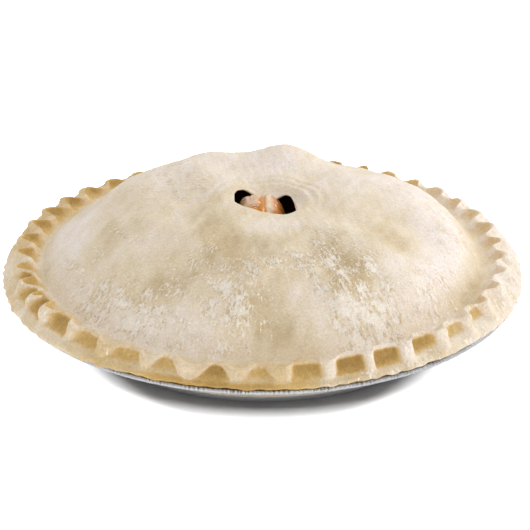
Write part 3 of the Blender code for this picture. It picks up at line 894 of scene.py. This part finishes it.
def makeCrust(material):
    rings = crustOutline()
    outline = [(radius, height) for _, _, radius, height in rings]
    crust = spinOutline("pieCrust", outline, crustBuild["steps"])
    points = readPoints(crust)
    angle = np.arctan2(points[:, 1], points[:, 0]) % fullTurn
    ringOf = ringNumbers(points, outline)
    zoneOf = np.array([ring[0] for ring in rings])[ringOf]
    placeOf = np.array([float(ring[1]) for ring in rings])[ringOf]
    radiusOf = np.array([ring[2] for ring in rings])[ringOf]
    shaped = points.copy()
    pinched = np.zeros(len(points))
    soaked = np.zeros(len(points))
    # the hollow below the vent and the underside of its edge get painted shade in the syrup colour
    for zone in ("hollow", "lip", "lid", "edge"):
        chosen = zoneOf == zone
        part = shaped[chosen]
        if zone == "hollow":
            part[:, 0] += vent["x"]
            part[:, 1] += vent["y"] + vent["pocketShift"]
            soaked[chosen] = 1
        elif zone == "lip":
            shapeLip(part, angle[chosen], placeOf[chosen].astype(int))
            soaked[chosen] = np.array(crustBuild["soakedAndShadedLip"])[placeOf[chosen].astype(int)]
        elif zone == "lid":
            shapeLid(part, angle[chosen], radiusOf[chosen])
        else:
            pinched[chosen] = shapeEdge(part, angle[chosen], placeOf[chosen].astype(int))
        shaped[chosen] = part
    movePoints(crust, shaped)
    # the gold of the folds carries painted shade in the pockets, the hollows and at the foot
    paint(crust, "pinched", pinched)
    paint(crust, "soaked", soaked)
    onLid = (zoneOf == "lid") | (zoneOf == "edge")
    flour = flourShare(shaped[:, 0], shaped[:, 1])
    onEdge = zoneOf == "edge"
    foldPlace = np.where(onEdge, placeOf * (len(fold["pressed"]) - 1) / (fold["ringCount"] - 1), 0)
    pastLid = fade(foldPlace, *fold["lidPlaces"])
    onFolds = flourCover["onFolds"] * fade(foldPlace, *flourCover["foldPlaces"])
    edgeFlour = np.maximum(flour * (1 - pastLid), onFolds) * (1 - ease(flourCover["wetting"] * pinched))
    flour = np.where(onEdge, edgeFlour, flour)
    paint(crust, "flour", np.where(onLid, flour, 0))
    # the folds' film is whiter on the right side as painted light
    edgeDustAndShading = roundPie(angle, *dustFilmAndShading["edge"])
    edgeDustAndShading += swells(shaped[:, 0], shaped[:, 1], dustFilmAndShading["edgeClouds"])
    edgeDustAndShading -= roundPie(angle, *dustFilmAndShading["bareFoot"]) * fade(foldPlace, *dustFilmAndShading["footPlaces"])
    dust = dustAndShadingShare(shaped[:, 0], shaped[:, 1])
    blend = np.where(onEdge, pastLid, zoneOf != "lid")
    paint(crust, "dust", dust + (edgeDustAndShading - dust) * blend)
    crust.data.materials.append(material)
    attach(crust, "root")
    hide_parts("crust")
    return crust


# The foil tin. Its outline runs along the underside, round the rolled rim and back along the inside.
tin = {
    "steps": 1680,
    "foil": 0.4 * mm,
    "creaseAngle": 32,  # degrees, past which an edge stays sharp
    "baseRadius": 89.0 * mm,
    "wallTopRadius": 112.0 * mm,
    "flangeHeight": 24.0 * mm,
    "rollCentre": 121.4 * mm,
    "rollRadius": 0.95 * mm,
    "roll": (-150, 90, 9),  # its first and last direction in degrees, and its points
    # the bends of the foil: out from the base's edge, the wall's top or the roll's middle, and up, in mm
    "underBase": 60 * mm,
    "underBend": ((-1.5, 0), (-0.3, 0.25), (0.7, 1.3)),
    "underWallTop": (-0.5, -0.4),
    "wallRings": 10,
    "underFlange": (0.8, 4.0),
    "underRoll": -1.6,
    "insideWallTop": (0.6, -0.05),
    "insideBend": ((1.0, 1.6), (-1.0, 0.4)),
    # flutes round the wall, how deep they are, and from which height to which, with the blur
    "flutes": 126,
    "fluteDepth": 0.22 * mm,
    "fluted": (3 * mm, 22 * mm, 4 * mm),
    # they come and go with a slower wave: its count round the tin, shift, mean and change
    "fluteBeat": (7, 1, 0.6, 0.4),
    # a wider wave below them: its count, shift and share of the depth
    "fluteSwell": (31, 2, 0.5),
    # crimps of the rolled rim, how deep they are, how much they lift it, and the radii where they start
    "crimps": 420,
    "crimpDepth": 0.8 * mm,
    "crimpLift": 0.35,
    "crimped": (115 * mm, 120 * mm),
    # they wander, by the count and height of a wave, and come and go as the flutes do
    "crimpWander": (23, 1.5),
    "crimpBeat": (41, 0.5, 0.7, 0.3),
}


def tinOutline():
    base, wallTop, flange = tin["baseRadius"], tin["wallTopRadius"], tin["flangeHeight"]
    under = flange - tin["foil"]
    outline = [(0, 0), (tin["underBase"], 0)]
    outline += [(base + out * mm, up * mm) for out, up in tin["underBend"]]
    bendRadius, bendHeight = outline[-1]
    out, up = tin["underWallTop"]
    for share in np.linspace(0, 1, tin["wallRings"] + 1)[1:]:
        radius = bendRadius + share * (wallTop + out * mm - bendRadius)
        outline.append((radius, bendHeight + share * (under + up * mm - bendHeight)))
    outline += [(wallTop + out * mm, under) for out in tin["underFlange"]]
    outline += [(tin["rollCentre"] + tin["underRoll"] * mm, under)]
    for angle in np.radians(np.linspace(*tin["roll"])):
        radius = tin["rollCentre"] + tin["rollRadius"] * math.cos(angle)
        outline.append((radius, flange + tin["rollRadius"] * (math.sin(angle) - 1)))
    out, up = tin["insideWallTop"]
    outline += [(wallTop + out * mm, flange + up * mm)]
    outline += [(base + out * mm, up * mm) for out, up in tin["insideBend"]]
    outline += [(0, tin["foil"])]
    return outline


def makeTin(material):
    outline = tinOutline()
    foilTin = spinOutline("foilTin", outline, tin["steps"])
    points = readPoints(foilTin)
    radius = np.hypot(points[:, 0], points[:, 1])
    angle = np.arctan2(points[:, 1], points[:, 0])
    height = points[:, 2]
    count, shift, mean, change = tin["fluteBeat"]
    flutes = np.sin(tin["flutes"] * angle) * (mean + change * np.sin(count * angle + shift))
    count, shift, share = tin["fluteSwell"]
    flutes += share * np.sin(count * angle + shift)
    onWall = window(height, *tin["fluted"]) * (radius > tin["baseRadius"] - mm)
    count, share = tin["crimpWander"]
    crimps = np.abs(np.sin(0.5 * tin["crimps"] * angle + share * np.sin(count * angle))) * 2 - 1
    count, shift, mean, change = tin["crimpBeat"]
    crimps *= mean + change * np.sin(count * angle + shift)
    onRim = fade(radius, *tin["crimped"])
    moved = radius + tin["fluteDepth"] * flutes * onWall + 0.5 * tin["crimpDepth"] * crimps * onRim
    stretch = np.where(radius > 0, moved / np.maximum(radius, mm), 1)
    points[:, 0] *= stretch
    points[:, 1] *= stretch
    points[:, 2] += tin["crimpLift"] * tin["crimpDepth"] * crimps * onRim
    movePoints(foilTin, points)
    bpy.ops.object.shade_smooth_by_angle(angle=math.radians(tin["creaseAngle"]))
    foilTin.data.materials.append(material)
    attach(foilTin, "root")
    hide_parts("foil_tin")
    return foilTin


# The fruit in the vent.
fruit = {
    # x, y of the middle, length, width, depth, height of the top in mm, turn in degrees
    "peachSliceLeft": (-6.3, 7.2, 24.4, 12.8, 14.2, 55.6, 3),
    "peachSliceRight": (5.6, 7.4, 24.8, 12.2, 14.6, 55.3, -3),
    "segments": 72,
    "rings": 44,
    "bow": 1.0 * mm,
    # the slices are flat where they touch each other, and round on the far side
    "nearRoundness": 0.40,
    "farRoundness": 1.0,
    "endRoundness": 0.55,
    "taper": 0.08,
    # relief of the cut flesh: rise, length in mm, seed
    "flesh": (0.20, 5, 31),
    "fibres": (0.10, 1.8, 41),
    # together they make one mound, gentle on the left and steep on the right: where it starts to fall,
    # and how far it is down one reach further out, in mm
    "falls": {"peachSliceLeft": (3.0, 1.8), "peachSliceRight": (3.2, 7.0)},
    "fallReach": 8.0,
    "fallPower": 1.5,
    # a painted highlight on the right slice, as a pale band: its x and width in mm, from which depth below
    # the top, and how pale
    "highlightBand": (3.0, 1.7),
    "highlightDepth": (-11, -6),
    "highlightShare": 0.9,
    # the top of the left slice is pale with sugar: how much, and where that starts: how high on the
    # slice, and at which y in mm
    "sugared": 0.5,
    "sugaredTop": (0.70, 1.0),
    "sugaredBack": (0, 5),
    # the juice between them, in mm
    "seamJuice": {"middle": (-0.7, 5.0), "length": 22.0, "width": 5.2, "depth": 6.0, "top": 55.5},
    "juiceSegments": 32,
    "juiceRings": 20,
}


def makeSlice(name, node, material):
    middleX, middleY, length, width, depth, top, turn = fruit[name]
    clearSelection()
    bpy.ops.mesh.primitive_uv_sphere_add(
        segments=fruit["segments"], ring_count=fruit["rings"], radius=1, calc_uvs=False)
    peach = bpy.context.object
    peach.name = name
    unit = readPoints(peach)
    near = -np.sign(middleX) * unit[:, 0]
    side = fruit["farRoundness"] + (fruit["nearRoundness"] - fruit["farRoundness"]) * ease(0.5 + near)
    ends = np.full_like(side, fruit["endRoundness"])
    blunt = np.sign(unit) * np.abs(unit) ** np.stack([side, ends, side], axis=1)
    points = np.empty_like(unit)
    points[:, 0] = 0.5 * width * mm * blunt[:, 0] * (1 + fruit["taper"] * (blunt[:, 2] - 1))
    points[:, 1] = 0.5 * length * mm * blunt[:, 1]
    points[:, 2] = 0.5 * depth * mm * blunt[:, 2] - fruit["bow"] * blunt[:, 1] ** 2
    rise, pitch, seed = fruit["flesh"]
    relief = rise * mm * ripples(points[:, 0] + points[:, 2], points[:, 1], pitch * mm, seed + turn)
    rise, pitch, seed = fruit["fibres"]
    relief += rise * mm * ripples(points[:, 0], points[:, 1] + points[:, 2], pitch * mm, seed + turn)
    points += unit * (relief * (1 - ease(2 * near - 1)))[:, None]
    turned = math.radians(turn)
    x, y = points[:, 0].copy(), points[:, 1].copy()
    points[:, 0] = middleX * mm + x * math.cos(turned) - y * math.sin(turned)
    points[:, 1] = middleY * mm + x * math.sin(turned) + y * math.cos(turned)
    points[:, 2] += (top - 0.5 * depth) * mm
    start, fall = fruit["falls"][name]
    outward = np.clip(np.sign(middleX) * points[:, 0] - start * mm, 0, None)
    points[:, 2] -= fall * mm * (outward / (fruit["fallReach"] * mm)) ** fruit["fallPower"]
    movePoints(peach, points)
    # painted highlight: a pale band down the right slice
    bandX, bandWidth = fruit["highlightBand"]
    pale = np.exp(-(((points[:, 0] - bandX * mm) / (bandWidth * mm)) ** 2))
    pale *= fade(points[:, 2] / mm - top, *fruit["highlightDepth"]) * (middleX > 0)
    sugared = fade(blunt[:, 2], *fruit["sugaredTop"]) * fade(points[:, 1] / mm, *fruit["sugaredBack"])
    sugared *= fruit["sugared"] * (middleX < 0)
    paint(peach, "frosted", np.maximum(fruit["highlightShare"] * pale, sugared))
    bpy.ops.object.shade_smooth()
    peach.data.materials.append(material)
    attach(peach, "root")
    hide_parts(node)
    return peach


def fillSeam(material):
    # juice that has run into the groove between the two slices
    seam = fruit["seamJuice"]
    clearSelection()
    bpy.ops.mesh.primitive_uv_sphere_add(
        segments=fruit["juiceSegments"], ring_count=fruit["juiceRings"], radius=0.5, calc_uvs=False)
    juice = bpy.context.object
    juice.name = "seamJuice"
    points = readPoints(juice) * np.array([seam["width"], seam["length"], seam["depth"]]) * mm
    points += np.array([*seam["middle"], seam["top"] - 0.5 * seam["depth"]]) * mm
    movePoints(juice, points)
    bpy.ops.object.shade_smooth()
    juice.data.materials.append(material)
    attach(juice, "root")
    return juice


sugar = {
    "count": 480,
    "seed": 5,
    "grain": (0.13, 0.32),
    # the left slice has most of it
    "shares": {"peachSliceLeft": 0.9, "peachSliceRight": 0.1},
    # where it lies: how level the flesh is, from which x outward and from which y to the back, in mm
    "level": (0.45, 0.95),
    "outward": {"peachSliceLeft": (1.5, 3.5), "peachSliceRight": (4, 6)},
    "thin": 0.12,
    "thick": (-1, 4),
    "backEnd": 14,
    "jitter": 0.35 * mm,
}


def sugarSlices(slices, material):
    # grains lie thick on the top of the left slice and along the far side of the right one
    chance = np.random.RandomState(sugar["seed"])
    places, normals = [], []
    for peach in slices:
        points = readPoints(peach)
        directions = np.empty(3 * len(points), np.float32)
        peach.data.vertices.foreach_get("normal", directions)
        directions = directions.reshape(-1, 3)
        level = fade(directions[:, 2], *sugar["level"]) ** 3 * (points[:, 1] < sugar["backEnd"] * mm)
        share = level * fade(np.abs(points[:, 0]) / mm, *sugar["outward"][peach.name])
        share *= sugar["thin"] + (1 - sugar["thin"]) * fade(points[:, 1] / mm, *sugar["thick"])
        count = int(sugar["count"] * sugar["shares"][peach.name])
        picked = chance.choice(len(points), size=count, p=share / share.sum())
        jitter = chance.uniform(-sugar["jitter"], sugar["jitter"], (count, 3))
        jitter -= directions[picked] * (jitter * directions[picked]).sum(axis=1)[:, None]
        places.append(points[picked] + jitter)
        normals.append(directions[picked])
    places, normals = np.vstack(places), np.vstack(normals).astype(float)
    normals /= np.linalg.norm(normals, axis=1)[:, None]
    sizes = chance.uniform(*sugar["grain"], (len(places), 3)) * mm
    turns = chance.uniform(0, fullTurn, len(places))
    return scatterGrains("sugarGrains", places, normals, sizes, turns, material)


pool = {
    "steps": 96,
    # the rings of its top, as shares of its radius: the first, the last and how many
    "rings": (0.1, 0.96, 12),
    "lip": 0.6 * mm,
    # its wet top: how far it is sunk in mm, and its swells: rise and length in mm, seed
    "sunk": 0.8,
    "swells": ((0.5, 7, 51),),
}


def makeFilling(material):
    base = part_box("filling")
    bottom, top = base[0].z, base[1].z
    middle = ((base[0].x + base[1].x) / 2, (base[0].y + base[1].y) / 2)
    reach = 0.5 * (base[1].y - base[0].y)
    outline = [(0, top)] + [(reach * share, top) for share in np.linspace(*pool["rings"])]
    outline += [(reach, top - pool["lip"]), (reach, bottom), (0, bottom)]
    filling = spinOutline("peachFilling", outline, pool["steps"])
    points = readPoints(filling)
    upper = points[:, 2] > top - 0.1 * mm
    points[:, 2] += upper * mm * (swells(points[:, 0], points[:, 1], pool["swells"]) - pool["sunk"])
    points[:, 0] += middle[0]
    points[:, 1] += middle[1]
    movePoints(filling, points)
    filling.data.materials.append(material)
    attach(filling, "root")
    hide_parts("filling")
    return filling


# Loose grains: crumbs of flour on the lid and sugar on the slices.
def scatterGrains(name, places, normals, sizes, turns, material):
    # one small chip, copied to each place and joined into one mesh
    clearSelection()
    bpy.ops.mesh.primitive_ico_sphere_add(subdivisions=1, radius=1, calc_uvs=False)
    chip = bpy.context.object
    corners = readPoints(chip)
    faces = np.array([list(face.vertices) for face in chip.data.polygons])
    bpy.ops.object.delete()
    aside = (0.01, -1.0, 0.1)  # a direction that no grain stands in
    across = np.cross(normals, aside)
    across /= np.linalg.norm(across, axis=1)[:, None]
    along = np.cross(normals, across)
    cosine, sine = np.cos(turns)[:, None], np.sin(turns)[:, None]
    axes = np.stack([across * cosine + along * sine, along * cosine - across * sine, normals], axis=1)
    points = np.einsum("vi,ni,nij->nvj", corners, sizes, axes) + places[:, None, :]
    allFaces = faces[None] + len(corners) * np.arange(len(places))[:, None, None]
    mesh = bpy.data.meshes.new(name)
    mesh.from_pydata(points.reshape(-1, 3), [], allFaces.reshape(-1, 3))
    grains = bpy.data.objects.new(name, mesh)
    bpy.context.scene.collection.objects.link(grains)
    mesh.materials.append(material)
    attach(grains, "root")
    return grains


flourCrumbs = {
    "count": 2400,
    "seed": 77,
    # a crumb's sides, in mm
    "sides": ((0.25, 0.95), (0.10, 0.30), (0.06, 0.18)),
    # they are drawn so many at a time, and kept where enough flour lies and the dough is clear
    "tries": 8000,
    "ventGap": 17 * mm,
    "edgeGap": 2 * mm,
    "bare": 0.2,
    "luck": 1.4,
    "luckPower": 1.5,
    "slopeStep": 0.4 * mm,
    "turnSpread": 0.5,  # how far they turn away from pointing downhill, in radians
}


def dustLid(material):
    chance = np.random.RandomState(flourCrumbs["seed"])
    found = np.empty((0, 2))
    while len(found) < flourCrumbs["count"]:
        tries = chance.uniform(-1, 1, (flourCrumbs["tries"], 2)) * lid["footRadius"]
        share = flourShare(tries[:, 0], tries[:, 1])
        clear = np.hypot(tries[:, 0] - vent["x"], tries[:, 1] - vent["y"]) > flourCrumbs["ventGap"]
        inside = np.hypot(tries[:, 0], tries[:, 1]) < lid["footRadius"] - flourCrumbs["edgeGap"]
        luck = chance.uniform(0, flourCrumbs["luck"], len(tries)) ** flourCrumbs["luckPower"]
        found = np.vstack([found, tries[clear & inside & (luck < share - flourCrumbs["bare"])]])
    x, y = found[: flourCrumbs["count"]].T
    step = flourCrumbs["slopeStep"]
    slopeX = (lidHeight(x + step, y) - lidHeight(x - step, y)) / (2 * step)
    slopeY = (lidHeight(x, y + step) - lidHeight(x, y - step)) / (2 * step)
    normals = np.stack([-slopeX, -slopeY, np.ones_like(x)], axis=1)
    normals /= np.linalg.norm(normals, axis=1)[:, None]
    sizes = np.stack([chance.uniform(*side, len(x)) for side in flourCrumbs["sides"]], axis=1)
    places = np.stack([x, y, lidHeight(x, y)], axis=1)
    turns = np.arctan2(y, x) + chance.normal(0, flourCrumbs["turnSpread"], len(x))
    return scatterGrains("flourCrumbs", places, normals, sizes * mm, turns, material)


# Floor, light and camera.
studio = {
    "sky": "FFFFFF",
    "skyStrength": 0.782,
    # a low softbox behind the pie on its right, which brings out the relief of the dough
    "key": {"turn": 42, "elevation": 28, "distance": 1.5, "size": 0.6, "power": 6.7},
    # a weak one at the front on the right fills the shade of the folds
    "fill": {"turn": -22, "elevation": 22, "distance": 1.6, "size": 0.9, "power": 3.4},
    # three panels light the floor alone, so that it is burnt out white but for a short shadow below the
    # rim: turn, elevation and size of each
    "panels": {
        "each": ((180, 31.8, 0.28), (-90, 43.6, 0.5), (0, 31.8, 0.28)), "distance": 2.0, "power": 178.0,
    },
    # what the board reflects, as shares of red, green and blue light: to the camera, and back to the pie
    "boardSeen": (0.34, 0.345, 0.352, 1.0),
    "boardThrows": (0.16, 0.16, 0.16, 1.0),
    "boardSize": 6,
    "camera": {
        "elevation": 26.0, "distance": 1.1, "aim": 0.025, "roll": 0.2, "lens": 157.0,
        "shiftX": 0.00453, "shiftY": -0.00075,
    },
}


def makeFloor():
    clearSelection()
    bpy.ops.mesh.primitive_plane_add(size=studio["boardSize"], calc_uvs=False)
    floor = bpy.context.object
    floor.name = "studioFloor"
    material, _, add = newMaterial("whiteBoard")
    ray = add("LightPath")
    shown = add("Mix", {6: studio["boardThrows"], 7: studio["boardSeen"]}, {0: ray.outputs["Is Camera Ray"]})
    board = add("BsdfDiffuse", None, {"Color": shown})
    feed(material, material.node_tree.nodes["Material Output"], "Surface", board)
    floor.data.materials.append(material)
    return floor


def addLamp(name, settings, turn, elevation, size):
    turn, raised = math.radians(turn), math.radians(elevation)
    away = settings["distance"] * math.cos(raised)
    place = Vector((away * math.cos(turn), away * math.sin(turn), settings["distance"] * math.sin(raised)))
    clearSelection()
    bpy.ops.object.light_add(type="AREA", location=place)
    lamp = bpy.context.object
    lamp.name = name + "Light"
    lamp.data.size, lamp.data.energy = size, settings["power"]
    lamp.rotation_euler = (-place).to_track_quat("-Z", "Y").to_euler()
    return lamp


def linkLamp(lamp, floor, state):
    # whether the floor is all that the lamp lights, or the one thing that it leaves out
    lit = bpy.data.collections.new(lamp.name + "Reach")
    lit.objects.link(floor)
    lit.collection_objects[0].light_linking.link_state = state
    lamp.light_linking.receiver_collection = lit


def makeLight(floor):
    world = bpy.data.worlds.new("studio")
    world.use_nodes = True
    sky = world.node_tree.nodes["Background"]
    sky.inputs["Color"].default_value = hexColour(studio["sky"])
    sky.inputs["Strength"].default_value = studio["skyStrength"]
    bpy.context.scene.world = world
    for name in ("key", "fill"):
        lamp = studio[name]
        linkLamp(addLamp(name, lamp, lamp["turn"], lamp["elevation"], lamp["size"]), floor, "EXCLUDE")
    panels = studio["panels"]
    for turn, elevation, size in panels["each"]:
        linkLamp(addLamp("panel", panels, turn, elevation, size), floor, "INCLUDE")
    bpy.context.scene.view_settings.view_transform = "Standard"


def makeCamera():
    view = studio["camera"]
    raised = math.radians(view["elevation"])
    aim = Vector((0, 0, view["aim"]))
    place = aim + view["distance"] * Vector((0, -math.cos(raised), math.sin(raised)))
    bpy.ops.object.camera_add(location=place)
    camera = bpy.context.object
    camera.name = "studioCamera"
    facing = (aim - place).to_track_quat("-Z", "Y") @ Quaternion((0, 0, 1), math.radians(view["roll"]))
    camera.rotation_euler = facing.to_euler()
    camera.data.lens = view["lens"]
    camera.data.shift_x = view["shiftX"]
    camera.data.shift_y = view["shiftY"]
    bpy.context.scene.camera = camera


makeCamera()
makeLight(makeFloor())
print("pie: camera, light and floor are set")
makeTin(makeFoil())
print("pie: the foil tin is pressed")
makeCrust(makePastry())
print("pie: the crust is shaped")
peach = makePeach()
slices = [makeSlice("peachSliceLeft", "peach_slice_left", peach),
          makeSlice("peachSliceRight", "peach_slice_right", peach)]
fillSeam(makeJuice())
sugarSlices(slices, makeSugar())
makeFilling(makeSyrupAndShade())
print("pie: the fruit is in the vent")
dustLid(makeFlour())
print("pie: the lid is floured")
